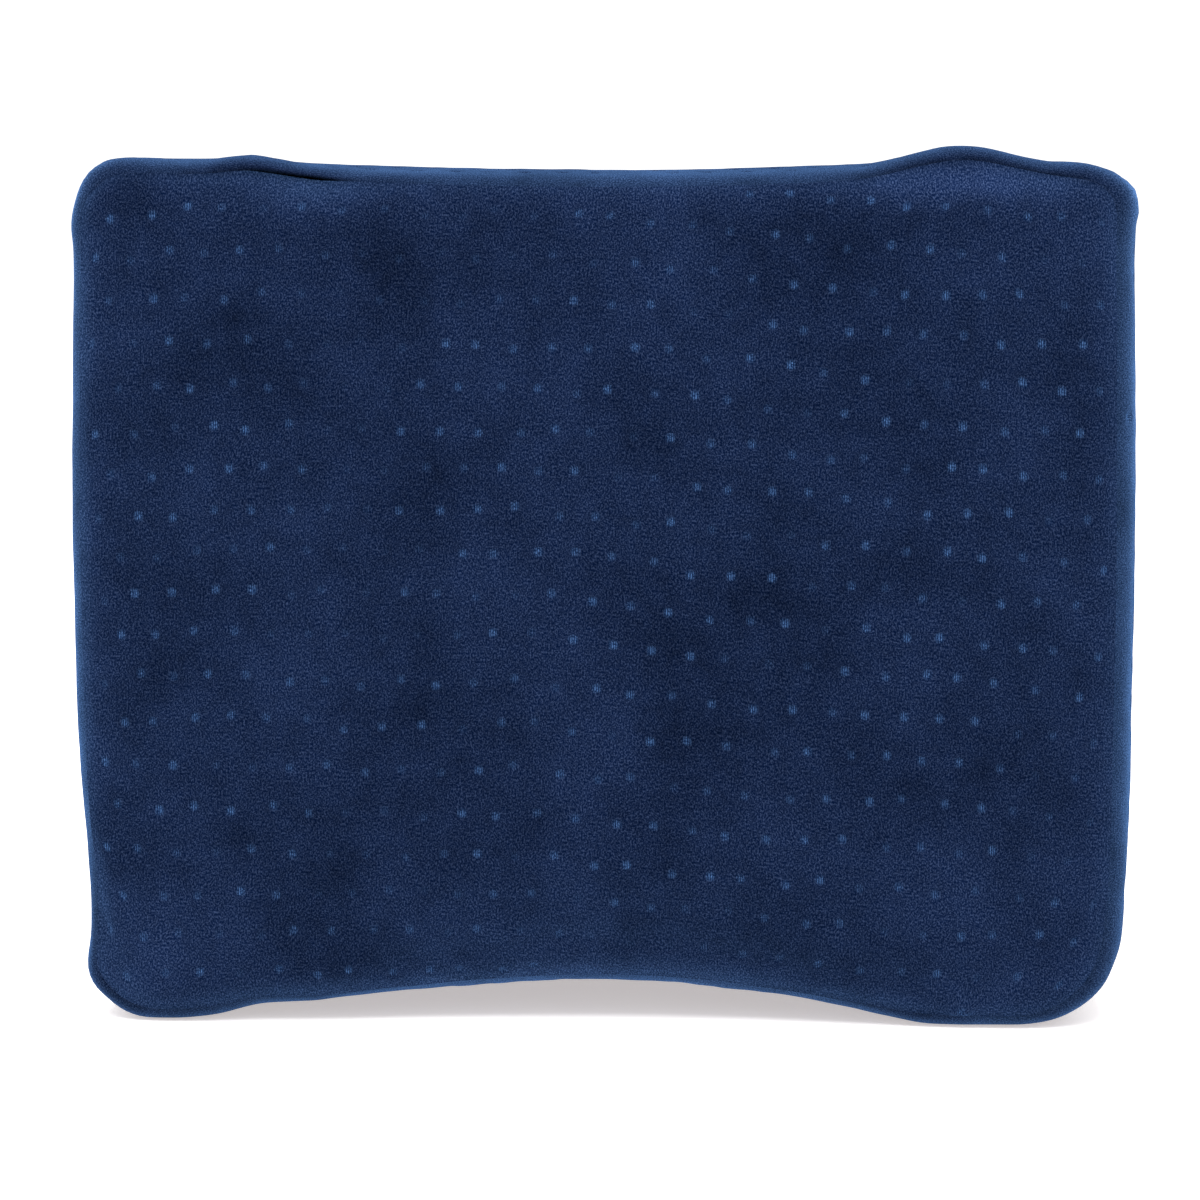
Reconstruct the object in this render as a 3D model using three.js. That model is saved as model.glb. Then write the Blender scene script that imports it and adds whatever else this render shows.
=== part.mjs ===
// Knee pillow: one foam-filled hourglass cushion in a velour cover, standing on its two feet.
// Millimetres, +Z up. The origin is on the floor under the middle, and the front face looks along -Y.
import * as THREE from 'three';

// Overall size
const WIDTH = 254; // side to side, over the fullest part of the side band
const DEPTH = 152; // crown of the front face to crown of the back face
const PEAK = 211; // floor to the tip of the bump at the top right

// Outline of the fullest ring, before its waves
const LAND = 207.4; // floor to the flat stretches of the top edge
const CORNERS = {
  bottomRight: { radius: 27, steps: 8 },
  topRight: { radius: 12, steps: 6 },
  topLeft: { radius: 14, steps: 6 },
  bottomLeft: { radius: 19, steps: 6 },
};
const EDGE_STEPS = { upright: 14, level: 26 };

// The hollows that the legs lie in, and how hard the feet press on the floor
const SADDLE = { at: 2, drop: 2.7, left: 92, right: 84, fullness: 2 };
const ARCH = { at: 3, drop: 11.8, left: 100, right: 76, fullness: 1.7 };
const FOOT_PRESS = 1.2;

// Waves along the edge, from pulls in the cover. `at` runs along the edge: x on the top and bottom,
// z on the sides. `out` is outward, `reach` is half the wave's length, and `back` is how far
// behind the front seam it dies away.
const WAVES = [
  { edge: 'top', at: -114, out: 1.2, reach: 16, back: 70 },
  { edge: 'top', at: -84, out: 1.9, reach: 15, back: 34 },
  { edge: 'top', at: 84, out: PEAK - LAND + 0.2, reach: 25, back: 44 },
  { edge: 'top', at: 115, out: -1.1, reach: 16, back: 60 },
  { edge: 'left', at: 185, out: -0.7, reach: 8, back: 30 },
  { edge: 'left', at: 118, out: 0.5, reach: 52, back: 90 },
  { edge: 'left', at: 27, out: -2.6, reach: 58, back: 90 },
  { edge: 'left', at: 11, out: 1.6, reach: 10, back: 26 },
  { edge: 'bottom', at: -84, out: -1.9, reach: 15, back: 40 },
  { edge: 'right', at: 187, out: -0.7, reach: 11, back: 40 },
  { edge: 'right', at: 108, out: 0.4, reach: 60, back: 90 },
  { edge: 'right', at: 20, out: -1.3, reach: 26, back: 90 },
];
const OUTWARD = { top: [0, 1], bottom: [0, -1], left: [-1, 0], right: [1, 0] };

// Side band: full at the shoulders, drawn in to the seams and a little at the waist between them
const SHOULDER = 57; // mid plane to the fullest ring
const SEAM = 71.2; // mid plane to the seam with the front or back panel
const TUCK = { top: 3.0, right: 5.2, bottom: 4.4, left: 2.2 }; // seam inside the fullest ring
const TUCK_STEPS = [0.97, 0.86, 0.66, 0.38]; // rings between a seam and its shoulder
const WAIST = 1.4;
const WAIST_STEPS = [40, 20, 0];

// Panels
const SHEET = 2; // thickness of a panel
const GAP = 0.3; // between a panel and the filled body
const CROWN = DEPTH / 2 - SEAM; // rise of a panel's middle over its seam
const EDGE_FULLNESS = 7; // how late the crown falls away to its seam
const CORNER_FALL = 0.45; // share of the crown that is gone towards the corners
const CROWN_CENTRE = { x: 0, z: 104 };
const FACE_RINGS = [0.98, 0.93, 0.84, 0.7, 0.5, 0.26]; // shares of the way from centre to seam
const ROLL = 0.5; // how far a panel's edge is rounded

// Soft troughs and ridges of the front face, by `x`, `z` and half-lengths `across` and `up`.
// `out` is towards the front.
const FACE_WAVES = [
  { place: 'pocket under the left bump', x: -72, z: 203, across: 26, up: 7, out: -2.4 },
  { place: 'ridge under the pocket', x: -76, z: 191, across: 30, up: 9, out: 0.7 },
  { place: 'slope under the right bump', x: 88, z: 203, across: 38, up: 12, out: -2.2 },
  { place: 'crease at the left side', x: -120, z: 189, across: 13, up: 8, out: -1.3 },
  { place: 'knuckle over the crease', x: -121, z: 200, across: 10, up: 6, out: 0.8 },
  { place: 'pull at the bottom left corner', x: -118, z: 14, across: 10, up: 13, out: -1.6 },
  { place: 'pull at the bottom right foot', x: 74, z: 11, across: 30, up: 9, out: -1.4 },
];

// Half a wave: 1 at its top, 0 from one half-length away
const hump = (distance) => (Math.abs(distance) < 1 ? 0.5 + 0.5 * Math.cos(Math.PI * distance) : 0);

// A hollow's height over its two feet: 1 in its middle, 0 at either end
function hollow(x, { at, left, right, fullness }) {
  const share = Math.abs(x - at) / (x < at ? left : right);
  return share < 1 ? 1 - share ** fullness : 0;
}

// The plain rounded rectangle, counter-clockwise from the foot of the right side
function plainOutline() {
  const points = [];
  const bend = (name, x, z, start) => {
    const { radius, steps } = CORNERS[name];
    const centre = [x - Math.sign(x) * radius, z > 0 ? z - radius : radius];
    for (let step = 0; step <= steps; step += 1) {
      const angle = start + (step / steps) * (Math.PI / 2);
      const [nx, nz] = [Math.cos(angle), Math.sin(angle)];
      points.push({ x: centre[0] + radius * nx, z: centre[1] + radius * nz, nx, nz });
    }
  };
  const run = (from, to, steps, nx, nz) => {
    const [start, end] = [new THREE.Vector2(...from), new THREE.Vector2(...to)];
    for (let step = 1; step < steps; step += 1) {
      const place = start.clone().lerp(end, step / steps);
      points.push({ x: place.x, z: place.y, nx, nz });
    }
  };
  const half = WIDTH / 2;
  const { bottomRight, topRight, topLeft, bottomLeft } = CORNERS;
  run([half, bottomRight.radius], [half, LAND - topRight.radius], EDGE_STEPS.upright, 1, 0);
  bend('topRight', half, LAND, 0);
  run([half - topRight.radius, LAND], [topLeft.radius - half, LAND], EDGE_STEPS.level, 0, 1);
  bend('topLeft', -half, LAND, Math.PI / 2);
  run([-half, LAND - topLeft.radius], [-half, bottomLeft.radius], EDGE_STEPS.upright, -1, 0);
  bend('bottomLeft', -half, 0, Math.PI);
  run([bottomLeft.radius - half, 0], [half - bottomRight.radius, 0], EDGE_STEPS.level, 0, -1);
  bend('bottomRight', half, 0, 1.5 * Math.PI);
  return points;
}

// How much of an edge's own direction an outline point faces
const facing = (point, edge) => {
  const [ex, ez] = OUTWARD[edge];
  return Math.max(0, point.nx * ex + point.nz * ez) ** 2;
};

// The seam's distance inside the fullest ring at an outline point
const tuckAt = (point) =>
  Object.keys(TUCK).reduce((sum, edge) => sum + TUCK[edge] * facing(point, edge), 0);

// One closed ring of the cushion at depth y, drawn in by `tuck` shares of the seam's distance
// and, but for its underside, by `inset` millimetres
function ringAt(y, tuck, inset) {
  return plainOutline().map((point) => {
    let { x, z } = point;
    z -= SADDLE.drop * hollow(point.x, SADDLE) * facing(point, 'top');
    z += ARCH.drop * hollow(point.x, ARCH) * facing(point, 'bottom');
    z -= FOOT_PRESS * facing(point, 'bottom');
    for (const { edge, at, out, reach, back } of WAVES) {
      const [ex, ez] = OUTWARD[edge];
      const along = ex === 0 ? point.x : point.z;
      const fade = hump(Math.min(1, Math.max(0, y + SHOULDER) / back));
      const push = out * hump((along - at) / reach) * facing(point, edge) * fade;
      x += ex * push;
      z += ez * push;
    }
    const drawn = tuck * tuckAt(point) + inset * (1 - facing(point, 'bottom'));
    x -= drawn * point.nx;
    z -= drawn * point.nz;
    return new THREE.Vector3(x, y - tuck * faceWave(x, z, y), Math.max(0, z));
  });
}

// Relief of the front face, towards the front. The back face has none.
function faceWave(x, z, y) {
  if (y > 0) return 0;
  return FACE_WAVES.reduce(
    (sum, { x: cx, z: cz, across, up, out }) =>
      sum + out * hump(Math.hypot((x - cx) / across, (z - cz) / up)),
    0,
  );
}

// Rings from a seam ring to the middle of its face, each further up the crown. `side` is -1 in
// front and 1 behind, and `behind` is how far the surface lies behind the panel's outer one.
function faceRings(seamRing, side, behind) {
  const centre = new THREE.Vector3(CROWN_CENTRE.x, 0, CROWN_CENTRE.z);
  const place = (x, z, share) => {
    const across = (2 * (x - centre.x)) / WIDTH;
    const up = (2 * (z - centre.z)) / LAND;
    const fall = (CORNER_FALL * (across ** 2 + up ** 2)) / 2;
    const rise = CROWN * (1 - share ** EDGE_FULLNESS) * (1 - fall) - behind;
    const y = side * (SEAM + rise);
    return new THREE.Vector3(x, y - faceWave(x, z, y), z);
  };
  const rings = FACE_RINGS.map((share) =>
    seamRing.map((point) => {
      const x = centre.x + (point.x - centre.x) * share;
      const z = centre.z + (point.z - centre.z) * share;
      return place(x, z, share);
    }),
  );
  return { rings, tip: place(centre.x, centre.z, 0) };
}

// A closed mesh over a row of rings, with a point at either end. The rings run from back to front.
// Each four-sided patch is cut along its shorter diagonal, so that two surfaces a little apart
// have the same creases and keep their gap.
function loft(firstTip, rings, lastTip) {
  const count = rings[0].length;
  const points = [firstTip, ...rings.flat(), lastTip];
  const faces = [];
  const patch = (a, b, c, d) => {
    const short = points[a].distanceTo(points[c]) <= points[b].distanceTo(points[d]);
    faces.push(...(short ? [a, b, c, a, c, d] : [a, b, d, b, c, d]));
  };
  for (let i = 0; i < count; i += 1) {
    const next = (i + 1) % count;
    faces.push(0, 1 + next, 1 + i);
    for (let row = 0; row + 1 < rings.length; row += 1) {
      const near = 1 + row * count;
      const far = near + count;
      patch(near + i, near + next, far + next, far + i);
    }
    const last = 1 + (rings.length - 1) * count;
    faces.push(points.length - 1, last + i, last + next);
  }
  const geometry = new THREE.BufferGeometry();
  const numbers = points.flatMap((point) => point.toArray());
  geometry.setAttribute('position', new THREE.Float32BufferAttribute(numbers, 3));
  geometry.setIndex(faces);
  geometry.computeVertexNormals();
  return geometry;
}

// The filled solid, with the side band as its outer wall
function bodyGeometry() {
  const behind = SHEET + GAP;
  const half = (side) => {
    const seamRing = ringAt(side * (SEAM - behind), 1, 0);
    const tucked = TUCK_STEPS.map((share) => {
      const y = side * (SHOULDER + (SEAM - behind - SHOULDER) * share);
      return ringAt(y, 1 - Math.sqrt(1 - share * share), 0);
    });
    const face = faceRings(seamRing, side, behind);
    const shoulderRing = ringAt(side * SHOULDER, 0, 0);
    return { tip: face.tip, rings: [...face.rings.reverse(), seamRing, ...tucked, shoulderRing] };
  };
  const waist = (y) => ringAt(y, 0, WAIST * hump(y / SHOULDER));
  const back = half(1);
  const front = half(-1);
  const middle = WAIST_STEPS.map(waist);
  const middleFront = WAIST_STEPS.slice(0, -1).reverse().map((y) => waist(-y));
  return loft(back.tip, [...back.rings, ...middle, ...middleFront, ...front.rings.reverse()], front.tip);
}

// A crowned panel of velour, its edge lying in the seam
function panelGeometry(side) {
  const outerSeam = ringAt(side * SEAM, 1, ROLL);
  const edge = ringAt(side * (SEAM - SHEET / 2), 1, 0);
  const innerSeam = ringAt(side * (SEAM - SHEET), 1, ROLL / 2);
  const outer = faceRings(edge, side, 0);
  const inner = faceRings(edge, side, SHEET);
  const rings = [...inner.rings.reverse(), innerSeam, edge, outerSeam, ...outer.rings];
  return side < 0
    ? loft(inner.tip, rings, outer.tip)
    : loft(outer.tip, rings.reverse(), inner.tip);
}

const velour = (colour) => new THREE.MeshStandardMaterial({ color: colour, roughness: 0.95, metalness: 0 });

function piece(name, geometry, colour) {
  const mesh = new THREE.Mesh(geometry, velour(colour));
  mesh.name = name;
  return mesh;
}

const pillow = new THREE.Group();
pillow.add(
  piece('boxed_body', bodyGeometry(), '#263f66'),
  piece('front_panel', panelGeometry(-1), '#1b2c4b'),
  piece('back_panel', panelGeometry(1), '#1b2c4b'),
);

export default pillow;
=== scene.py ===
# %% [markdown]
# # A knee pillow in dimpled velour
#
# The real thing is a block of memory foam, cut to an hourglass with a hollow for each leg, in a
# sewn cover of navy velour. The cover has a front panel, a back panel and one long side band
# between them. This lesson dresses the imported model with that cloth. Everything is in metres.

# %% Load the frame
import math
from collections import namedtuple

import bmesh
import bpy
import numpy as np
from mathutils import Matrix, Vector, kdtree, noise
from mathutils.bvhtree import BVHTree


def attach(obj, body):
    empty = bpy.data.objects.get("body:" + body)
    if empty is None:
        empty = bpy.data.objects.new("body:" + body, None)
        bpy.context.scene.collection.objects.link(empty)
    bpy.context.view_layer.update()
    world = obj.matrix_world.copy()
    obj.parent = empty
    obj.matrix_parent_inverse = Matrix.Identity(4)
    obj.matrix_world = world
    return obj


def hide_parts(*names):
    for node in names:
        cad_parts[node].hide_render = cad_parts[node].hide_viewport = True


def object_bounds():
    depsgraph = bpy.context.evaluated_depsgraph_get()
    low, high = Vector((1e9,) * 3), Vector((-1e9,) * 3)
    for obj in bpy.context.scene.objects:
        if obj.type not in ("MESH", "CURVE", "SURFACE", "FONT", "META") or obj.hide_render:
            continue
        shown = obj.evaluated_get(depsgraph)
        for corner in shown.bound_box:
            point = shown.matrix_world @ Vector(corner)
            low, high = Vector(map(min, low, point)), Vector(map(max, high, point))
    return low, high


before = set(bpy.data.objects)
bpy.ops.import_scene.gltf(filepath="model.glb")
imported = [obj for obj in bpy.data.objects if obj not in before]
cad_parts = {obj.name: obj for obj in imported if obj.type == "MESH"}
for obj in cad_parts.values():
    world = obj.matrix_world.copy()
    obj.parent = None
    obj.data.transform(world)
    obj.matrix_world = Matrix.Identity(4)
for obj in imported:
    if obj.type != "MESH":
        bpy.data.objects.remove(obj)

MM = 0.001
FRONT, BACK = -1, 1      # the front face looks along -Y
cad_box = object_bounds()
scene = bpy.context.scene
print("CAD box", [[round(x, 4) for x in corner] for corner in cad_box])

# %% [markdown]
# ## The camera
#
# The photograph looks at the wide face from a little to its right and a little above the middle,
# through a long lens. A camera object looks along its own -Z, so a direction and a target are
# enough to place it, and `to_track_quat` turns it.

# %% Place the camera
CAMERA_AZIMUTH = 2.5     # degrees to the right of straight on
CAMERA_ELEVATION = 5.5   # degrees above level
CAMERA_DISTANCE = 1.02
CAMERA_LENS = 119.65     # millimetres, on a sensor of 36
CAMERA_TARGET = Vector((-3.2 * MM, 0, 96.7 * MM))


def add_object(name, data):
    """A new object in the scene's own collection."""
    made = bpy.data.objects.new(name, data)
    scene.collection.objects.link(made)
    return made


def seen_from(azimuth, elevation):
    """The direction from the pillow to something at that azimuth and elevation, in degrees."""
    turn, lift = math.radians(azimuth), math.radians(elevation)
    flat = math.cos(lift)
    return Vector((math.sin(turn) * flat, -math.cos(turn) * flat, math.sin(lift)))


camera = add_object("camera", bpy.data.cameras.new("camera"))
camera.data.lens = CAMERA_LENS
camera.location = CAMERA_TARGET + seen_from(CAMERA_AZIMUTH, CAMERA_ELEVATION) * CAMERA_DISTANCE
camera.rotation_euler = (CAMERA_TARGET - camera.location).to_track_quat("-Z", "Y").to_euler()
scene.camera = camera
print("camera at", [round(x, 3) for x in camera.location])

# %% [markdown]
# ## The seams
#
# Each panel is sewn in along its whole edge. In the model the edge of a panel is the line where
# its faces turn from looking forwards to looking back, so the seam is found by asking each edge
# of the mesh for the normals of the two faces beside it. The vertices found are put in order
# round the face's middle. Under the arch the panel's wall is flat and no edge turns, so the line
# runs straight from foot to foot there, until it is laid on the form and follows the arch.

# %% Find the seam of each panel
MIDDLE = Vector((0, 0, 104 * MM))    # the middle of a face
SEAM_STATIONS = 1200                 # points along a seam, evenly spaced


def merged(*names):
    """A bmesh of the named nodes, with the corners of their loose triangles merged."""
    bm = bmesh.new()
    for name in names:
        bm.from_mesh(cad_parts[name].data)
    bmesh.ops.remove_doubles(bm, verts=bm.verts[:], dist=0.02 * MM)
    bm.normal_update()
    return bm


def seam_of(node):
    """Evenly spaced points along a panel's edge, from its right foot up and round."""
    bm = merged(node)
    turning = set()
    for edge in bm.edges:
        if len(edge.link_faces) == 2:
            one, other = (face.normal.y for face in edge.link_faces)
            if one * other < 0:
                turning.update(vert.co.copy().freeze() for vert in edge.verts)
    bm.free()

    def turn_from_below(p):
        return math.atan2(p.x - MIDDLE.x, MIDDLE.z - p.z) % math.tau

    line = np.array(sorted(turning, key=turn_from_below))
    line = np.vstack([line, line[:1]])
    along = np.concatenate([[0], np.cumsum(np.linalg.norm(np.diff(line, axis=0), axis=1))])
    even = np.linspace(0, along[-1], SEAM_STATIONS, endpoint=False)
    return np.stack([np.interp(even, along, line[:, axis]) for axis in range(3)], axis=1)


def rounded(line, passes=30):
    """The same closed line, with the corners between its straight stretches softened."""
    for _ in range(passes):
        line = (np.roll(line, 1, axis=0) + 2 * line + np.roll(line, -1, axis=0)) / 4
    return line


seams = {FRONT: rounded(seam_of("front_panel")), BACK: rounded(seam_of("back_panel"))}
seam_length = {side: float(np.linalg.norm(np.diff(line, axis=0), axis=1).sum())
               for side, line in seams.items()}
print("seam lengths in mm", {side: round(long / MM, 1) for side, long in seam_length.items()})

# %% [markdown]
# ## The filling pushes the cover out
#
# Between its seams the cover swells, because the foam is cut a little larger than the cloth. A
# copy of the three solids is remeshed into one even skin, its seams are pinned, and a short cloth
# simulation blows it up a little. How far a point may move is capped, so that the pillow keeps
# its size. The result isn't shown: it is the form that the cloth pieces are laid on.

# %% Swell a skin between the seams
VOXEL = 3 * MM
SWELL_CAP = 1.6 * MM
SWELL_FRAMES = 20
SWELL_PRESSURE = 4.0
SHOULDER_Y = 57 * MM         # the edges are rounded from here to the faces


def mesh_of(obj):
    """The object's mesh with its modifiers worked in."""
    graph = bpy.context.evaluated_depsgraph_get()
    return bpy.data.meshes.new_from_object(obj.evaluated_get(graph))


def finished(bm, name):
    """A mesh from a bmesh, which is then freed."""
    mesh = bpy.data.meshes.new(name)
    bm.to_mesh(mesh)
    bm.free()
    return mesh


def even_skin():
    """One closed skin round the three solids, with faces of about the voxel's size."""
    skin = add_object("skin", finished(merged("boxed_body", "front_panel", "back_panel"), "skin"))
    remesh = skin.modifiers.new("even", "REMESH")
    remesh.mode = "VOXEL"
    remesh.voxel_size = VOXEL
    even = mesh_of(skin)
    skin.modifiers.clear()
    skin.data = even
    return skin


def pin_seams(skin):
    """Pins the vertices that lie on a seam. The hold fades out over two voxels."""
    held = skin.vertex_groups.new(name="seams")
    tree = kdtree.KDTree(2 * SEAM_STATIONS)
    for index, point in enumerate(np.vstack([seams[FRONT], seams[BACK]])):
        tree.insert(point, index)
    tree.balance()
    for vert in skin.data.vertices:
        away = tree.find(vert.co)[2]
        held.add([vert.index], max(0.0, 1 - max(0.0, away - VOXEL) / (2 * VOXEL)), "REPLACE")
    return held.name


def swell(skin, pinned):
    """Blows the skin up as cloth, caps the movement and keeps the result."""
    start = np.array([vert.co for vert in skin.data.vertices])
    cloth = skin.modifiers.new("swell", "CLOTH")
    cloth.settings.quality = 4
    cloth.settings.vertex_group_mass = pinned
    cloth.settings.use_pressure = True
    cloth.settings.uniform_pressure_force = SWELL_PRESSURE
    cloth.settings.effector_weights.gravity = 0
    cloth.point_cache.frame_end = SWELL_FRAMES
    for frame_number in range(1, SWELL_FRAMES + 1):
        scene.frame_set(frame_number)
    swollen = mesh_of(skin)
    end = np.array([vert.co for vert in swollen.vertices])
    scene.frame_set(1)
    skin.modifiers.clear()
    moved = end - start
    far = np.linalg.norm(moved, axis=1, keepdims=True)
    kept = start + moved * np.minimum(1, SWELL_CAP / np.maximum(far, 1e-9))
    skin.data.vertices.foreach_set("co", kept.ravel())
    print(f"swelling moved points by up to {far.max() / MM:.1f} mm, kept to {SWELL_CAP / MM:.1f}")


Lump = namedtuple("Lump", "place x z out wide")      # millimetres, on the front's outline
LUMPS = (
    Lump("top left corner", -123, 205.5, 2.3, 5.5),
    Lump("above it", -114, 209, 0.7, 6),
    Lump("knuckle on the left", -127, 193, 0.9, 4),
    Lump("band over the pocket", -83, 210, 0.8, 6),
    Lump("right bump", 84, 213, 0.9, 13),
    Lump("right shoulder", 114, 206, 1.4, 8),
    Lump("notch at the top right", 120, 205, -1.0, 2.5),
    Lump("top right corner", 127, 200, 2.5, 4.5),
    Lump("bottom left corner", -122, 12, 1.9, 5.5),
    Lump("under the corner", -113, 4, 1.0, 6),
    Lump("bottom right corner", 119, 14, 1.2, 12),
    Lump("left side, low", -122, 60, 0.9, 28),
    Lump("left side, high", -126, 140, 0.6, 40),
)
LUMP_DEPTH = 40 * MM         # lumps lie near the front and fade over this


def lump(point):
    """How far the filling bulges outwards at a point, in metres."""
    near_front = math.exp(-((point.y + SHOULDER_Y) / LUMP_DEPTH) ** 2)
    return near_front * MM * sum(
        row.out * math.exp(-((point.x / MM - row.x) ** 2 + (point.z / MM - row.z) ** 2)
                           / row.wide ** 2) for row in LUMPS)


def smooth(bm, passes):
    """Evens out a mesh, which also wears down its corners a little."""
    for _ in range(passes):
        bmesh.ops.smooth_vert(bm, verts=bm.verts[:], factor=0.5, use_axis_x=True,
                              use_axis_y=True, use_axis_z=True)


def fill_out(bm):
    """Brings every vertex that lies inside the model's solids back out to their surface."""
    solids = merged("boxed_body", "front_panel", "back_panel")
    surface = BVHTree.FromBMesh(solids)
    for vert in bm.verts:
        near, normal, _, away = surface.find_nearest(vert.co)
        if (vert.co - near).dot(normal) < 0 and away < VOXEL:
            vert.co = near
    solids.free()


def smooth_form(skin):
    """The skin evened out and subdivided, as a tree that rays can be cast at."""
    bm = bmesh.new()
    bm.from_mesh(skin.data)
    smooth(bm, passes=2)
    fill_out(bm)
    smooth(bm, passes=1)
    for vert in bm.verts:
        away = Vector((vert.co.x - MIDDLE.x, 0, vert.co.z - MIDDLE.z)).normalized()
        vert.co += away * lump(vert.co)
        vert.co.z = max(0.0, vert.co.z)
    bm.to_mesh(skin.data)
    bm.free()
    soft = skin.modifiers.new("soft", "SUBSURF")
    soft.levels = soft.render_levels = 1
    fine = mesh_of(skin)
    tree = BVHTree.FromPolygons([v.co.copy() for v in fine.vertices],
                                [tuple(p.vertices) for p in fine.polygons])
    print("form has", len(fine.polygons), "faces")
    return tree


skin = even_skin()
swell(skin, pin_seams(skin))
form = smooth_form(skin)
bpy.data.objects.remove(skin)

# %% [markdown]
# ## The cloth's own pattern
#
# The velour is a knit with a short cut pile, and small bare dimples are left in the pile in rows.
# Rows are staggered by half a step. The knit gives a little, so no dimple sits exactly on its
# place and whole rows bend. Cell noise shifts each dimple, because it gives the same value for
# the same row and step on every run. Each piece of cloth carries the pattern in its own UV map,
# in metres, as if it lay flat on a table.

# %% Lay out the rows of dimples
DIMPLE_STEP = 9.1 * MM       # along a row
DIMPLE_ROW = 10.1 * MM       # from row to row
DIMPLE_DRIFT = 1.1 * MM      # how far one may sit from its place
DIMPLE_WANDER = 2.2 * MM     # how far whole rows bend as the knit stretches
WANDER_SPAN = 55 * MM
DIMPLE_START = Vector((-92.0 * MM, 185.0 * MM))   # one that shows clearly near the top left


def dimple_places(low, high, seed):
    """The dimples between two corners of the flat cloth, each with its clearness from 0 to 1."""
    first = math.floor((low.y - DIMPLE_START.y) / DIMPLE_ROW)
    last = math.ceil((high.y - DIMPLE_START.y) / DIMPLE_ROW)
    for row in range(first, last + 1):
        shift = DIMPLE_START.x + (row % 2) * DIMPLE_STEP / 2
        start = math.floor((low.x - shift) / DIMPLE_STEP)
        for step in range(start, math.ceil((high.x - shift) / DIMPLE_STEP) + 1):
            chance = noise.cell_vector(Vector((step + 0.5, row + 0.5, seed + 0.5)))
            across = shift + step * DIMPLE_STEP + (2 * chance.x - 1) * DIMPLE_DRIFT
            up = DIMPLE_START.y + row * DIMPLE_ROW + (2 * chance.y - 1) * DIMPLE_DRIFT
            bend = noise.noise_vector(Vector((across, up, seed)) / WANDER_SPAN) * DIMPLE_WANDER
            place = Vector((across + bend.x, up + bend.y))
            if low.x < place.x < high.x and low.y < place.y < high.y:
                yield place, chance.z


print("a square decimetre of cloth has about",
      round(0.01 / (DIMPLE_STEP * DIMPLE_ROW)), "dimples")

# %% [markdown]
# A dimple is one face of the cloth's grid, moved onto its place, then inset and pushed in.
# `inset_individual` keeps the middle face, so the vertices of that face can be marked as bare,
# and the material later shows the ground of the knit there.

# %% Press the dimples into a piece of cloth
FAINTEST, CLEAREST = 0.1, 0.66   # how bare the knit lies in the faintest and clearest dimple


def flat_centre(face, uv):
    """The middle of a face on the flat cloth."""
    return sum((loop[uv].uv for loop in face.loops), Vector((0, 0))) / len(face.loops)


def shift_on_cloth(face, uv, shift):
    """The move in space that goes with a move on the flat cloth."""
    a, b, d = face.loops[0], face.loops[1], face.loops[3]
    one, two = b[uv].uv - a[uv].uv, d[uv].uv - a[uv].uv
    area = one.x * two.y - one.y * two.x
    if abs(area) < 0.5 * one.length * two.length:
        return Vector((0, 0, 0))         # a squeezed corner face stays where it is
    along = (shift.x * two.y - shift.y * two.x) / area
    across = (one.x * shift.y - one.y * shift.x) / area
    return (b.vert.co - a.vert.co) * along + (d.vert.co - a.vert.co) * across


def clear_of_rim(bm):
    """The faces that don't touch the cloth's edge, where the seam flattens any dimple."""
    return [face for face in bm.faces if not any(vert.is_boundary for vert in face.verts)]


def press_dimples(bm, faces, hidden, depth, shoulder, seed):
    """Presses a dimple at each of its places on these faces and marks its floor as bare."""
    uv = bm.loops.layers.uv.active
    bare = bm.verts.layers.float.new("bare")
    centres = [flat_centre(face, uv) for face in faces]
    tree = kdtree.KDTree(len(faces))
    for index, centre in enumerate(centres):
        tree.insert((centre.x, centre.y, 0), index)
    tree.balance()
    low = Vector((min(c.x for c in centres), min(c.y for c in centres)))
    high = Vector((max(c.x for c in centres), max(c.y for c in centres)))
    chosen, clear = {}, {}
    for place, clearness in dimple_places(low, high, seed):
        _, index, away = tree.find((place.x, place.y, 0))
        if away < DIMPLE_STEP / 4:
            chosen[faces[index]] = place - centres[index]
            clear[faces[index]] = FAINTEST + (CLEAREST - FAINTEST) * clearness
    for face, shift in chosen.items():
        move = shift_on_cloth(face, uv, shift)
        for vert in face.verts:
            vert.co += move
    floors = list(chosen)
    bmesh.ops.inset_individual(bm, faces=floors, thickness=shoulder, depth=-depth,
                               use_even_offset=True, use_interpolate=True)
    for face in floors:
        centre = face.calc_center_median()
        seen = 1 - min(1.0, patched(hidden, centre.x, centre.z))
        for vert in face.verts:
            vert[bare] = clear[face] * seen
    return len(floors)

# %% [markdown]
# ## How tightly each seam is pulled
#
# Down the sides the cover bends softly from panel to band and the seam is lost in the pile. At
# the top left it is pulled into a pocket, and along the right foot it shows as a line. A short
# table gives the pull at places on the seam, and the stretches between them are blended. The
# back isn't seen, so its seam is even.

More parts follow.
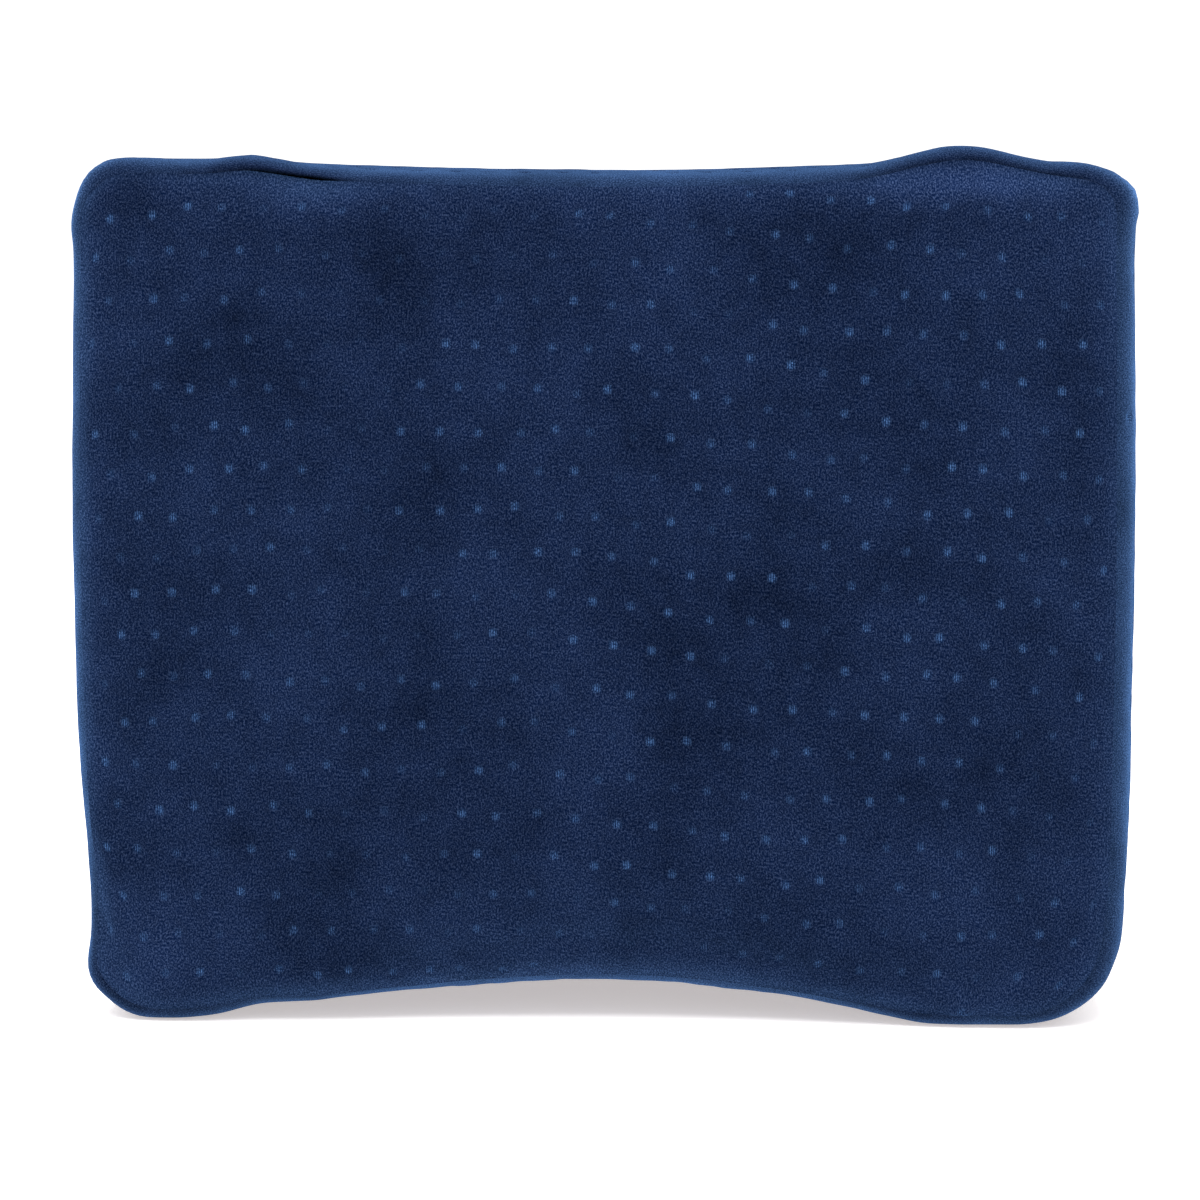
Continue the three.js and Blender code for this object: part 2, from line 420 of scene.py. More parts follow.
# %% Set the pull of the seam
Pull = namedtuple("Pull", "place x z pull")      # all three in millimetres
PULLS = (
    Pull("underside, left of the arch", -50, 10, 0.5),
    Pull("underside, middle", 0, 15, 0.9),
    Pull("right foot, inner end", 55, 11, 1.6),
    Pull("right foot", 86, 5, 1.2),
    Pull("bottom right corner", 112, 8, 0.5),
    Pull("right side, low", 122, 60, 0.0),
    Pull("right side, high", 124, 180, 0.0),
    Pull("top right corner", 122, 199, 0.5),
    Pull("top right notch", 108, 204, 2.2),
    Pull("right bump", 86, 209, 1.9),
    Pull("right bump, inner side", 66, 205, 1.4),
    Pull("right bump, start", 45, 202, 0.0),
    Pull("top middle", -30, 201, 0.0),
    Pull("pocket's right end", -57, 203, 1.4),
    Pull("pocket", -70, 204, 3.6),
    Pull("pocket's left end", -84, 206, 2.4),
    Pull("top left", -104, 206, 1.0),
    Pull("top left corner", -119, 199, 0.4),
    Pull("left side, high", -125, 180, 0.0),
    Pull("left side, low", -122, 40, 0.0),
    Pull("bottom left corner", -119, 12, 1.6),
    Pull("left foot", -100, 4, 1.0),
)
EVEN_PULL = 0.5 * MM         # all round the back
OPEN_PULL = 1.6 * MM         # a seam pulled in further than this begins to gape
PANEL_GROOVE = 3.4 * MM      # the panel slopes gently down to a pulled seam
BAND_GROOVE = 1.6 * MM       # the band bulges over it


def pull_along(side):
    """The pull in metres at each station of a seam."""
    if side == BACK:
        return np.full(SEAM_STATIONS, EVEN_PULL)
    line = seams[FRONT][:, (0, 2)]
    known = []
    for row in PULLS:
        away = np.linalg.norm(line - np.array((row.x, row.z)) * MM, axis=1)
        known.append((int(np.argmin(away)), row.pull * MM))
    stations, pulls = zip(*sorted(known))
    return np.interp(np.arange(SEAM_STATIONS), stations, pulls, period=SEAM_STATIONS)


def on_form(x, z, side):
    """How far out the form lies at a place on the front or back, or at the nearest to it."""
    depth = cad_box[1][1]
    hit = form.ray_cast(Vector((x, side * 2 * depth, z)), Vector((0, -side, 0)))[0]
    return (hit or form.find_nearest(Vector((x, side * depth, z)))[0]).y


def rim_along(side):
    """The seam laid on the form and pulled in, which both pieces of cloth take as their edge."""
    line = rounded(np.array([form.find_nearest(Vector(point))[0] for point in seams[side]]))
    line[:, 1] -= side * seam_pull[side]
    return line


seam_pull = {side: pull_along(side) for side in (FRONT, BACK)}
rims = {side: rim_along(side) for side in (FRONT, BACK)}
for side, line in rims.items():
    print("rim", side, "lies between", [round(float(y) / MM, 1)
                                        for y in (line[:, 1].min(), line[:, 1].max())])

# %% [markdown]
# ## Folds and dents, given one by one
#
# A few places of the front are particular: the dent under the pocket, the knuckle at the left
# corner, the slope under the right bump. Each is a line of a few points with a height and a
# width, and a point of the cloth moves in or out by how near it is to the line, as with a soft
# brush in sculpt mode.

# %% Folds of the front
Fold = namedtuple("Fold", "place points out wide")
FOLDS = (
    Fold("dent under the pocket", ((-84, 202), (-72, 200), (-60, 202)), -1.5, 4.5),
    Fold("ridge under the dent", ((-90, 195), (-76, 195), (-64, 198), (-52, 202)), 0.9, 4.0),
    Fold("crease at the left corner", ((-123, 187), (-119, 193), (-114, 200)), -1.3, 2.2),
    Fold("knuckle on the left edge", ((-124, 193), (-121, 199)), 0.9, 3.5),
    Fold("slope under the right bump", ((64, 201), (84, 205), (104, 203)), -1.4, 4.5),
    Fold("ridge under the right bump", ((60, 196), (84, 198), (110, 197)), 0.6, 4.5),
    Fold("notch at the top right", ((106, 204), (110, 203)), -1.2, 2.0),
    Fold("fold at the bottom left", ((-121, 26), (-119, 16), (-115, 8)), -1.5, 2.5),
    Fold("hollow along the right foot", ((52, 14), (72, 9), (94, 7)), -0.9, 3.5),
)


def away_from(points, x, z):
    """The distance in millimetres from a place on the front to a line of points."""
    place, nearest = Vector((x, z)), 1e9
    for a, b in zip(points, points[1:]):
        start, step = Vector(a), Vector(b) - Vector(a)
        share = max(0.0, min(1.0, (place - start).dot(step) / step.length_squared))
        nearest = min(nearest, (place - start - step * share).length)
    return nearest


def folded(x, z):
    """How far the front's folds push the cloth out at a place, in metres."""
    out = 0.0
    for fold in FOLDS:
        away = away_from(fold.points, x / MM, z / MM) / fold.wide
        if away < 3:
            out += fold.out * MM * math.exp(-away * away)
    return out


print(len(FOLDS), "folds, the deepest", min(fold.out for fold in FOLDS), "mm")

# %% [markdown]
# ## Where the nap is brushed, and where light is painted
#
# Velour looks lighter or darker as its pile leans, and a hand that has stroked it leaves cloudy
# patches. The same brushing hides some of the dimples. Two tables place the patches that can be
# seen on the front, each as a soft oval. A few light ovals in the first table are painted light
# rather than brushing: a painted highlight on the ridge at the top right, and painted bounce light
# from the table on the feet. Their values go into vertex attributes, which the material reads.

# %% Brushed patches and painted light on the front
Patch = namedtuple("Patch", "x z wide tall tone")
# brushed nap, with painted light: the oval at (86, 202) paints a highlight on the top right ridge,
# and those at (-108, 12) and (100, 12) paint bounce light on the feet
NAP_AND_PAINTED_LIGHT = (
    Patch(-49, 177, 11, 16, -0.9), Patch(-78, 156, 13, 14, -0.7), Patch(-62, 39, 7, 15, -0.8),
    Patch(-40, 51, 13, 9, -0.6), Patch(71, 114, 14, 12, -0.9), Patch(33, 104, 8, 8, -0.7),
    Patch(24, 88, 14, 12, -0.7), Patch(59, 186, 8, 15, -0.6), Patch(65, 150, 8, 20, -0.5),
    Patch(48, 92, 16, 8, -0.5), Patch(113, 128, 8, 15, -0.6), Patch(-104, 120, 6, 30, -0.3),
    Patch(-91, 31, 15, 14, 0.7), Patch(0, 32, 31, 12, 0.6), Patch(-29, 25, 14, 7, 0.5),
    Patch(83, 28, 13, 12, 0.5), Patch(80, 170, 5, 15, 0.5), Patch(96, 144, 10, 10, 0.5),
    Patch(-35, 163, 4, 22, 0.6), Patch(-83, 118, 15, 7, 0.5), Patch(-69, 82, 13, 12, 0.7),
    Patch(106, 109, 7, 8, 0.5), Patch(2, 66, 14, 34, 0.5), Patch(86, 202, 22, 3.5, 3.5),
    Patch(98, 190, 26, 12, 0.9), Patch(-108, 12, 18, 12, 1.6), Patch(100, 12, 22, 10, 1.3),
    Patch(-70, 197, 16, 4, 0.8), Patch(-110, 182, 7, 9, 0.3), Patch(20, 185, 26, 8, 0.3),
)
HIDDEN = (
    Patch(-62, 175, 22, 22, 0.8), Patch(-60, 110, 17, 42, 0.75), Patch(-30, 190, 26, 12, 0.8),
    Patch(-58, 40, 18, 22, 0.7), Patch(20, 188, 30, 10, 0.5), Patch(104, 60, 12, 40, 0.5),
    Patch(10, 20, 50, 10, 0.7), Patch(-20, 150, 14, 14, 0.5), Patch(100, 190, 24, 8, 0.6),
)


def patched(patches, x, z):
    """The sum of the soft ovals at a place on the front."""
    return sum(p.tone * math.exp(-((x / MM - p.x) / p.wide) ** 2
                                 - ((z / MM - p.z) / p.tall) ** 2) for p in patches)


print(len(NAP_AND_PAINTED_LIGHT), "brushed patches and", len(HIDDEN), "that hide dimples")

# %% [markdown]
# ## A panel
#
# A panel starts as a flat grid. Its four corners go to the four corners of the seam and its edges
# to the stretches of seam between them, and the inside follows by blending those four edges, which
# is called a Coons patch. Each vertex is then dropped onto the swollen form with a ray, and the
# cloth gets its thickness with `solidify`. Where the seam is slack the panel's edge is creased, so
# that it meets the band without a groove.
#
# The cloth wanders in and out a little, and its pile stands in tufts. On the front the rows of the
# pattern sink towards the right, as in the photograph. The "nap_and_painted_light" attribute also
# carries painted shade along the seams, darkest where a seam is pulled, and a painted sheen where
# the cloth bends over the edge.

# %% The flat panel
SHEET = 1.6 * MM             # thickness of the velour with its backing
UNEVEN = 0.25 * MM           # how far the cloth wanders in and out over a few centimetres
UNEVEN_SPAN = 34 * MM
TUFT = 0.22 * MM             # how far tufts of pile stand out over a few millimetres
TUFT_SPAN = 4.5 * MM
SKEW = 0.09                  # the front's rows sink towards the right by this slope
SKEW_FROM = -20 * MM
AT_SEAM = 0.5 * MM           # nearer than this, a point belongs to the seam itself
PAINTED_SEAM_SHADE = 1.5           # how much darker the pile is painted along a pulled seam, as painted shade
PAINTED_SEAM_SHADE_WIDTH = 1.1 * MM
PAINTED_BEND_SHEEN = 1.1              # painted sheen: how much lighter the cloth is painted where it bends over an edge
PAINTED_BEND_SHEEN_WIDTH = 6 * MM


def corner_station(line, right, top):
    """The station of a seam's corner on that side."""
    return int(np.argmax(line[:, 0] * (1 if right else -1) + line[:, 2] * (1 if top else -1)))


def at_station(values, place):
    """The value at a place on a seam, between two stations where it has to be."""
    low = int(place) % SEAM_STATIONS
    high = (low + 1) % SEAM_STATIONS
    rest = place - int(place)
    return values[low] * (1 - rest) + values[high] * rest


def coons(line):
    """A function from (across, up), each 0 to 1, to a place inside the closed seam."""
    low_left, low_right = corner_station(line, False, False), corner_station(line, True, False)
    top_right, top_left = corner_station(line, True, True), corner_station(line, False, True)
    corners = [line[i] for i in (low_left, low_right, top_left, top_right)]

    def between(start, end, share):
        return at_station(line, start + ((end - start) % SEAM_STATIONS) * share)

    def place(across, up):
        low = between(low_left, low_right, across)
        top = between(top_right, top_left, 1 - across)
        left = between(top_left, low_left, 1 - up)
        right = between(low_right, top_right, up)
        a, b, c, d = corners
        blend = (a * (1 - across) * (1 - up) + b * across * (1 - up)
                 + c * (1 - across) * up + d * across * up)
        return Vector(low * (1 - up) + top * up + left * (1 - across) + right * across - blend)

    return place


def seam_finder(side):
    """A tree that finds the station of a seam nearest to a place, seen from the front."""
    tree = kdtree.KDTree(SEAM_STATIONS)
    for index, point in enumerate(rims[side]):
        tree.insert((point[0], 0, point[2]), index)
    tree.balance()
    return tree


def uneven(point, seed):
    """The wander of the cloth's surface and its tufts, always the same for the same place."""
    wander = UNEVEN * noise.noise(point / UNEVEN_SPAN + Vector((seed, 0, 0)))
    return wander + TUFT * noise.noise(point / TUFT_SPAN + Vector((0, seed, 0)))


def laid_on_form(place, side, seed, finder):
    """The place moved along Y onto the form, with the seam's groove and the folds."""
    flat = Vector((place.x, 0, place.z))
    _, station, away = finder.find(flat)
    if away < AT_SEAM:
        return Vector((place.x, rims[side][station][1], place.z))
    groove = seam_pull[side][station] * math.exp(-(away / PANEL_GROOVE) ** 2)
    inside = 1 - math.exp(-(away / (2 * PANEL_GROOVE)) ** 2)
    out = uneven(flat, seed) * inside - groove
    if side == FRONT:
        out += folded(place.x, place.z) * inside
    return Vector((place.x, on_form(place.x, place.z, side) + side * out, place.z))


def painted_seam_shade(side, station, away):
    """Painted shade along a pulled seam: how much darker the pile is painted at a distance from
    it.
    """
    pull = float(at_station(seam_pull[side], station))
    return -PAINTED_SEAM_SHADE * pull / OPEN_PULL * math.exp(-(away / PAINTED_SEAM_SHADE_WIDTH) ** 2)


def panel_grid(side, across_cell, up_cell, seed):
    """The panel as one layer of cloth, lying on the form, with its flat shape as UVs."""
    width = cad_box[1][0] - cad_box[0][0]
    height = cad_box[1][2] - cad_box[0][2]
    bm = bmesh.new()
    bmesh.ops.create_grid(bm, x_segments=round(width / across_cell),
                          y_segments=round(height / up_cell), size=0.5)
    place, finder = coons(rims[side]), seam_finder(side)
    for vert in bm.verts:
        flat = place(vert.co.x + 0.5, vert.co.y + 0.5)
        vert.co = laid_on_form(flat, side, seed, finder)
    uv = bm.loops.layers.uv.new("cloth")
    nap_and_painted_light = bm.verts.layers.float.new("nap_and_painted_light")
    for face in bm.faces:
        for loop in face.loops:
            x, z = loop.vert.co.x, loop.vert.co.z
            droop = SKEW * max(0.0, x - SKEW_FROM) if side == FRONT else 0.0
            loop[uv].uv = (-side * x, z + droop)
    if side == FRONT:
        # brushed nap, plus painted shade along the seams and painted sheen near the edges
        for vert in bm.verts:
            _, station, away = finder.find((vert.co.x, 0, vert.co.z))
            vert[nap_and_painted_light] = (patched(NAP_AND_PAINTED_LIGHT, vert.co.x, vert.co.z) + painted_seam_shade(side, station, away)
                         + PAINTED_BEND_SHEEN * math.exp(-(away / PAINTED_BEND_SHEEN_WIDTH) ** 2))
    return bm

# %% [markdown]
# The edge is creased by an edge attribute that the Subdivision Surface modifier reads, and marked
# sharp, so that the shading doesn't run round the corner.

# %% Edge and thickness
def crease_rim(bm, side):
    """Keeps a cloth's open edges crisp where the seam that they lie on is slack."""
    crease = bm.edges.layers.float.get("crease_edge") or bm.edges.layers.float.new("crease_edge")
    finder = seam_finder(side)
    for edge in bm.edges:
        if not edge.is_boundary or edge.verts[0].co.y * side < 0:
            continue
        middle = (edge.verts[0].co + edge.verts[1].co) / 2
        station = finder.find((middle.x, 0, middle.z))[1]
        edge[crease] = min(1.0, max(0.0, 2 - float(seam_pull[side][station]) / OPEN_PULL))
        edge.smooth = edge[crease] < 0.5


def turn_under(bm, side, deep, inward):
    """Folds the panel's edge back into the pillow, as the seam allowance."""
    rim = [edge for edge in bm.edges if edge.is_boundary]
    made = bmesh.ops.extrude_edge_only(bm, edges=rim)["geom"]
    for vert in (part for part in made if isinstance(part, bmesh.types.BMVert)):
        towards = Vector((MIDDLE.x - vert.co.x, 0, MIDDLE.z - vert.co.z)).normalized()
        vert.co += towards * inward - Vector((0, side * deep, 0))


def soften(obj):
    """Smooth shading over one level of subdivision, with nothing below the table."""
    for vert in obj.data.vertices:
        vert.co.z = max(0.0, vert.co.z)
    for face in obj.data.polygons:
        face.use_smooth = True
    soft = obj.modifiers.new("soft", "SUBSURF")
    soft.levels = soft.render_levels = 1
    return obj


def cloth_panel(name, side, across_cell, up_cell, seed):
    """A whole panel: laid, creased, turned under, thickened and dimpled."""
    bm = panel_grid(side, across_cell, up_cell, seed)
    bmesh.ops.recalc_face_normals(bm, faces=bm.faces[:])
    if sum(face.normal.y for face in bm.faces) * side < 0:
        bmesh.ops.reverse_faces(bm, faces=bm.faces[:])
    shown = clear_of_rim(bm)
    crease_rim(bm, side)
    turn_under(bm, side, deep=3 * MM, inward=0.8 * MM)
    bmesh.ops.solidify(bm, geom=bm.faces[:], thickness=SHEET)
    bmesh.ops.recalc_face_normals(bm, faces=bm.faces[:])
    hidden = HIDDEN if side == FRONT else ()
    count = press_dimples(bm, shown, hidden, depth=0.5 * MM, shoulder=0.32 * MM, seed=seed)
    panel = soften(add_object(name, finished(bm, name)))
    print(name, "has", count, "dimples and", len(panel.data.polygons), "faces before subdivision")
    return panel


front_panel = cloth_panel("velour_front_panel", FRONT, DIMPLE_STEP / 4, DIMPLE_ROW / 4, seed=3)
back_panel = cloth_panel("velour_back_panel", BACK, DIMPLE_STEP / 3, DIMPLE_ROW / 3, seed=5)

# %% [markdown]
# ## The side band and its filling
#
# The band is one long strip from seam to seam, so its grid runs round the pillow one way and from
# front to back the other. Rays fan out from inside the foam and meet the form: round the shoulders
# they turn with the curve, and between the shoulders they are square to the outline. The strip's
# two ends meet under the arch, where the real band has its join.

# %% Shape of the side band
FAN_DEPTH = 9 * MM           # how far inside the seam the rays start
SHOULDER_REACH = 4 * MM      # how far past the seam line the shoulder swings out
RAY = 60 * MM


def outward(line):
    """The outward direction across the seam, in the plane of the face."""
    step = np.roll(line, -4, axis=0) - np.roll(line, 4, axis=0)
    across = np.stack([step[:, 2], np.zeros(len(step)), -step[:, 0]], axis=1)
    return across / np.linalg.norm(across, axis=1, keepdims=True)


rim_out = {side: outward(line) for side, line in rims.items()}


def band_profile(rows):
    """For each row of the band: its place across the strip, its Y and its ray's tilt."""
    seam_y = float(np.median(np.abs(seams[FRONT][:, 1])))
    fan = math.atan2(seam_y - SHOULDER_Y, FAN_DEPTH)
    bend = fan * (FAN_DEPTH + SHOULDER_REACH)
    total = 2 * bend + 2 * SHOULDER_Y
    for row in range(rows + 1):
        along = total * row / rows
        y = min(SHOULDER_Y, max(-SHOULDER_Y, along - bend - SHOULDER_Y))
        past = min(0.0, along - bend) + max(0.0, along - bend - 2 * SHOULDER_Y)
        yield along, y, fan * past / bend


def band_point(share, y, tilt, side, seed):
    """Where the ray for one vertex of the band meets the form, with the seam's groove."""
    back = (y + SHOULDER_Y) / (2 * SHOULDER_Y)
    place = share % 1.0 * SEAM_STATIONS
    base = at_station(rims[FRONT], place) * (1 - back) + at_station(rims[BACK], place) * back
    out = Vector(at_station(rim_out[FRONT], place) * (1 - back)
                 + at_station(rim_out[BACK], place) * back)
    out.normalize()
    start = Vector((base[0], y, base[2])) - out * FAN_DEPTH
    ray = out * math.cos(tilt) + Vector((0, math.sin(tilt), 0))
    hit = form.ray_cast(start, ray, RAY)[0]
    away = (hit - Vector(at_station(rims[side], place))).length
    groove = at_station(seam_pull[side], place) * math.exp(-(away / BAND_GROOVE) ** 2)
    inside = 1 - math.exp(-(away / PANEL_GROOVE) ** 2)
    point = hit + ray * (uneven(hit, seed) * inside - groove)
    point.z = max(0.0, point.z)
    return point


def band_grid(around_cell, across_cell, seed):
    """The band as one layer on the form, welded where its ends meet."""
    around = round(seam_length[FRONT] / around_cell)
    width = list(band_profile(1))[-1][0]
    rows = round(width / across_cell)
    profile = list(band_profile(rows))
    bm = bmesh.new()
    bmesh.ops.create_grid(bm, x_segments=around, y_segments=rows, size=0.5)
    uv = bm.loops.layers.uv.new("cloth")
    nap_and_painted_light = bm.verts.layers.float.new("nap_and_painted_light")
    for face in bm.faces:
        for loop in face.loops:
            place = loop.vert.co
            loop[uv].uv = ((place.x + 0.5) * seam_length[FRONT], (place.y + 0.5) * width)
    for vert in bm.verts:
        share = vert.co.x + 0.5
        row = round((vert.co.y + 0.5) * rows)
        side = FRONT if row < rows / 2 else BACK
        along, y, tilt = profile[row]
        away = min(along, width - along)
        # painted sheen across the band, fading out towards its seams, where painted shade lies
        painted_sheen_share = 1 - math.exp(-(away / PANEL_GROOVE) ** 2)
        vert[nap_and_painted_light] = PAINTED_BEND_SHEEN * painted_sheen_share + painted_seam_shade(side, share % 1.0 * SEAM_STATIONS, away)
        if row in (0, rows):
            vert.co = Vector(at_station(rims[side], share % 1.0 * SEAM_STATIONS))
        else:
            vert.co = band_point(share, y, tilt, side, seed)
    bmesh.ops.remove_doubles(bm, verts=bm.verts[:], dist=0.01 * MM)
    return bm

# %% [markdown]
# The band alone is an open ring. Behind each panel it is closed by rings that step inwards and by
# a few triangles in the middle, so that band and filling are one closed, crowned body. A single
# face with hundreds of corners would be simpler, but subdivision can't handle one that large.

# %% Close the body and dimple the band
CAP_RINGS = ((0.3, 4.2), (4.0, 0.4), (12.0, None), (45.0, None), (80.0, None))   # in, down
BEHIND_PANEL = 1.2 * MM      # the filling stays this far behind the panel's cloth


def close_face(bm, side):
    """Closes one end of the filled body behind its panel: rings inwards, then triangles."""
    rim = [edge for edge in bm.edges if edge.is_boundary and edge.verts[0].co.y * side > 0]
    for inward, drop in CAP_RINGS:
        made = bmesh.ops.extrude_edge_only(bm, edges=rim)["geom"]
        rim = [part for part in made
               if isinstance(part, bmesh.types.BMEdge) and part.is_boundary]
        for vert in (part for part in made if isinstance(part, bmesh.types.BMVert)):
            towards = Vector((MIDDLE.x - vert.co.x, 0, MIDDLE.z - vert.co.z))
            vert.co += towards.normalized() * min(inward * MM, towards.length * 0.9)
            if drop is None:
                vert.co.y = on_form(vert.co.x, vert.co.z, side) - side * (SHEET + BEHIND_PANEL)
            else:
                vert.co.y -= side * drop * MM
    middle = bmesh.ops.contextual_create(bm, geom=rim)["faces"]
    bmesh.ops.triangulate(bm, faces=middle)


bm = band_grid(DIMPLE_STEP / 3, DIMPLE_ROW / 3, seed=7)
shown = clear_of_rim(bm)
for side in (FRONT, BACK):
    crease_rim(bm, side)
    close_face(bm, side)
bmesh.ops.recalc_face_normals(bm, faces=bm.faces[:])
count = press_dimples(bm, shown, (), depth=0.7 * MM, shoulder=0.5 * MM, seed=7)
side_band = soften(add_object("velour_side_band", finished(bm, "velour_side_band")))
print("side band has", count, "dimples and", len(side_band.data.polygons), "faces")

# %% [markdown]
# ## The velour
#
# The cover is knitted polyester velour: a dyed knit whose loops are cut to a pile under a
# millimetre long. It is nearly black-blue when one looks down into the pile and lighter where one
# looks across the fibre tips, which the sheen of the Principled shader gives. The pile swallows
# the mirror-like part of the light, so the specular level is almost nothing. The rows of the knit
# show through as a grain of short upright dashes. The pattern is read from the cloth's own UV map,
# which is in metres. The grain and the "nap_and_painted_light" attribute steer both the colour and
# the sheen. Besides brushed nap, that attribute holds painted shade along the seams, painted
# highlights and painted sheen.

# %% A colour and a node
def linear(hex_colour):
    """An sRGB hex colour as the linear colour that Blender's nodes take."""
    parts = [int(hex_colour[i:i + 2], 16) / 255 for i in (1, 3, 5)]
    return tuple(c / 12.92 if c <= 0.04045 else ((c + 0.055) / 1.055) ** 2.4 for c in parts) + (1,)


def add_node(tree, kind, settings, inputs):
    """Adds a node. Each input takes a value, or another node's output, which is linked to it."""
    made = tree.nodes.new(kind)
    for name, value in settings.items():
        setattr(made, name, value)
    for name, value in inputs.items():
        if isinstance(value, bpy.types.NodeSocket):
            tree.links.new(value, made.inputs[name])
        else:
            made.inputs[name].default_value = value
    return made


WALE = 0.55 * MM             # from one column of stitches to the next
COURSE = 1.0 * MM            # from one row of stitches to the next
CLOUD = 30 * MM              # the size of the largest unplanned nap patches
WAVE_TURN = math.tau / 20    # a Wave texture of this scale has one stripe to the metre
PILE_DEEP = "#00051a"        # looking down into the pile
PILE_TIPS = "#1f283d"        # the brightest fibre tips
BARE_KNIT = "#081733"        # the ground of the knit, in a dimple
BARE_GLINT = "#4c6f9e"       # one shiny yarn of it
SHEEN_TINT = "#4b6fa1"
GRAIN_SCALE = (1.5 / WALE, 2.0 / COURSE, 1)   # specks of pile to the metre, across and up
GRAIN_LOW, GRAIN_HIGH = 0.34, 0.68   # noise below is all depth, above it all tips
TIPS_POWER = 2.2             # few fibres show their tips fully
CLOUD_LOW, CLOUD_HIGH = 0.7, 1.3     # how dark and light the unplanned patches get
NAP_AND_PAINTED_LIGHT_WEIGHT = 0.25            # how much the "nap_and_painted_light" attribute, brushed nap with painted shade and sheen, adds to the lean of the pile
PILE_ROUGHNESS, SHEEN_ROUGHNESS = 0.95, 0.5
BARE_LOSS = 0.7              # the share of the sheen that a bare dimple loses
DEPTH_SHEEN = 0.35           # the sheen of the deepest pile, beside 1 for the tips
BUMP_STRENGTH, BUMP_DEPTH = 0.35, 0.3 * MM

# %% Knitted polyester velour
velour = bpy.data.materials.new("knitted polyester velour")
velour.use_nodes = True
tree = velour.node_tree
shader = tree.nodes["Principled BSDF"]

cloth_place = add_node(tree, "ShaderNodeUVMap", {"uv_map": "cloth"}, {}).outputs["UV"]
knit_place = add_node(tree, "ShaderNodeMapping", {}, {
    "Vector": cloth_place, "Scale": GRAIN_SCALE}).outputs["Vector"]
grain = add_node(tree, "ShaderNodeTexNoise", {"noise_dimensions": "2D"}, {
    "Vector": knit_place, "Scale": 1.0, "Detail": 2.0, "Roughness": 0.7}).outputs["Fac"]
cloud = add_node(tree, "ShaderNodeTexNoise", {"noise_dimensions": "2D"}, {
    "Vector": cloth_place, "Scale": 1 / CLOUD, "Detail": 5.0, "Roughness": 0.74,
    "Lacunarity": 2.6}).outputs["Fac"]
brushed_and_painted_light = add_node(tree, "ShaderNodeAttribute", {"attribute_name": "nap_and_painted_light"}, {}).outputs["Fac"]
bare = add_node(tree, "ShaderNodeAttribute", {"attribute_name": "bare"}, {}).outputs["Fac"]

pile = add_node(tree, "ShaderNodeMix", {"data_type": "RGBA", "clamp_factor": False}, {
    6: linear(PILE_DEEP), 7: linear(PILE_TIPS)})
grain_tone = add_node(tree, "ShaderNodeMapRange", {"clamp": True}, {
    "Value": grain, "From Min": GRAIN_LOW, "From Max": GRAIN_HIGH})
tips = add_node(tree, "ShaderNodeMath", {"operation": "POWER"}, {
    0: grain_tone.outputs["Result"], 1: TIPS_POWER})
tree.links.new(tips.outputs["Value"], pile.inputs[0])
cloud_tone = add_node(tree, "ShaderNodeMapRange", {"clamp": False}, {
    "Value": cloud, "From Min": 0.3, "From Max": 0.7, "To Min": CLOUD_LOW,
    "To Max": CLOUD_HIGH})
# the attribute's painted shade and painted highlights join the random cloud here, and scale both
# the pile's colour and its sheen
lean_and_painted_light = add_node(tree, "ShaderNodeMath", {"operation": "MULTIPLY_ADD"}, {
    0: brushed_and_painted_light, 1: NAP_AND_PAINTED_LIGHT_WEIGHT, 2: cloud_tone.outputs["Result"]}).outputs["Value"]
pile_with_painted_light = add_node(tree, "ShaderNodeVectorMath", {"operation": "SCALE"}, {
    0: pile.outputs[2], "Scale": lean_and_painted_light}).outputs["Vector"]

# %% [markdown]
# In a dimple the knit lies bare. Its upright yarns are smoother than the pile, so they show as two
# or three light stripes on a clearer blue.

# %% Bare knit in the dimples
columns = add_node(tree, "ShaderNodeTexWave", {"wave_type": "BANDS", "bands_direction": "X"}, {
    "Vector": cloth_place, "Scale": WAVE_TURN / WALE, "Distortion": 0.0}).outputs["Fac"]
glint = add_node(tree, "ShaderNodeMath", {"operation": "MULTIPLY"}, {
    0: columns, 1: grain_tone.outputs["Result"]})
knit = add_node(tree, "ShaderNodeMix", {"data_type": "RGBA"}, {
    0: glint.outputs["Value"], 6: linear(BARE_KNIT), 7: linear(BARE_GLINT)})
colour = add_node(tree, "ShaderNodeMix", {"data_type": "RGBA"}, {
    0: bare, 6: pile_with_painted_light, 7: knit.outputs[2]})
tree.links.new(colour.outputs[2], shader.inputs["Base Color"])
shader.inputs["Roughness"].default_value = PILE_ROUGHNESS
shader.inputs["Specular IOR Level"].default_value = 0.0
covered = add_node(tree, "ShaderNodeMath", {"operation": "MULTIPLY_ADD"}, {
    0: bare, 1: -BARE_LOSS, 2: 1.0})
standing = add_node(tree, "ShaderNodeMath", {"operation": "MULTIPLY_ADD"}, {
    0: grain_tone.outputs["Result"], 1: 1 - DEPTH_SHEEN, 2: DEPTH_SHEEN})
tips_with_painted_light = add_node(tree, "ShaderNodeMath", {"operation": "MULTIPLY"}, {
    0: standing.outputs["Value"], 1: lean_and_painted_light})
sheen = add_node(tree, "ShaderNodeMath", {"operation": "MULTIPLY"}, {
    0: covered.outputs["Value"], 1: tips_with_painted_light.outputs["Value"]})
tree.links.new(sheen.outputs["Value"], shader.inputs["Sheen Weight"])
shader.inputs["Sheen Roughness"].default_value = SHEEN_ROUGHNESS
shader.inputs["Sheen Tint"].default_value = linear(SHEEN_TINT)
pile_bump = add_node(tree, "ShaderNodeBump", {}, {
    "Height": grain, "Strength": BUMP_STRENGTH, "Distance": BUMP_DEPTH})
tree.links.new(pile_bump.outputs["Normal"], shader.inputs["Normal"])
for piece in (front_panel, back_panel, side_band):
    piece.data.materials.append(velour)
print("velour has", len(tree.nodes), "nodes")

